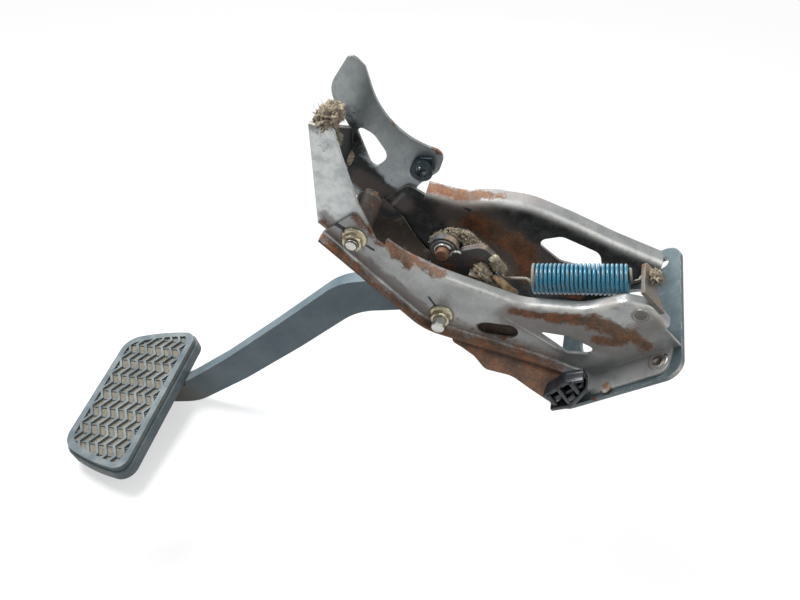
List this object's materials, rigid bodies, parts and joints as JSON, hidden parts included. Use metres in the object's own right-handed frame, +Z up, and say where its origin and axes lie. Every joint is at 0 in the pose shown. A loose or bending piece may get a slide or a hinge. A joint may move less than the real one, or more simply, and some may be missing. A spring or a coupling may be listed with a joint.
{
  "type": "brake pedal",
  "caption": "Hanging car brake pedal: a ribbed rubber pad on a bent steel arm, pivoting in a stamped steel bracket with a coiled return spring.",
  "frame": {"origin": "centre of the four stud holes and the rod hole, on the mount plate's front face", "axes": "+X the driver's right, +Y the front of the car, out of the mount plate's front face, +Z up"},
  "size_m": [0.1927, 0.245, 0.4035],
  "materials": {
    "bracket_steel": "satin",
    "zinc_steel": "satin",
    "brown_steel": "matte",
    "painted_steel": "satin",
    "spring_steel": "satin",
    "bush_nylon": "satin",
    "pad_rubber": "matte",
    "black_plastic": "satin"
  },
  "bodies": {
    "bracket": {"mount_plate": "bracket_steel", "right_side_plate": "bracket_steel", "left_side_plate": "bracket_steel", "rear_bracket": "bracket_steel", "rear_weld_nut": "zinc_steel", "rear_bolt": "zinc_steel", "rear_nut": "zinc_steel", "rear_spacer_tube": "brown_steel", "pivot_bolt": "zinc_steel", "pivot_nut": "zinc_steel", "pivot_collar": "brown_steel", "spring_tab": "bracket_steel", "return_spring": "spring_steel", "wiring_clip": "black_plastic"},
    "pedal": {"boss_tube": "painted_steel", "pivot_bush_right": "bush_nylon", "pivot_bush_left": "bush_nylon", "lever_plate_right": "brown_steel", "lever_plate_left": "brown_steel", "spring_tongue": "brown_steel", "clevis_pin": "brown_steel", "pin_clip": "zinc_steel", "pedal_arm": "painted_steel", "pad_plate": "painted_steel", "pad_cover": "pad_rubber"}
  },
  "joints": [
    {"name": "pedal_pivot", "type": "hinge", "parent": "bracket", "child": "pedal", "pos_m": [0, -0.099, -0.065], "axis": [1, 0, 0], "range_deg": [0, 22], "stiffness_Nm_per_rad": 6, "springref_deg": -40.11, "deforming": ["return_spring"]}
  ]
}
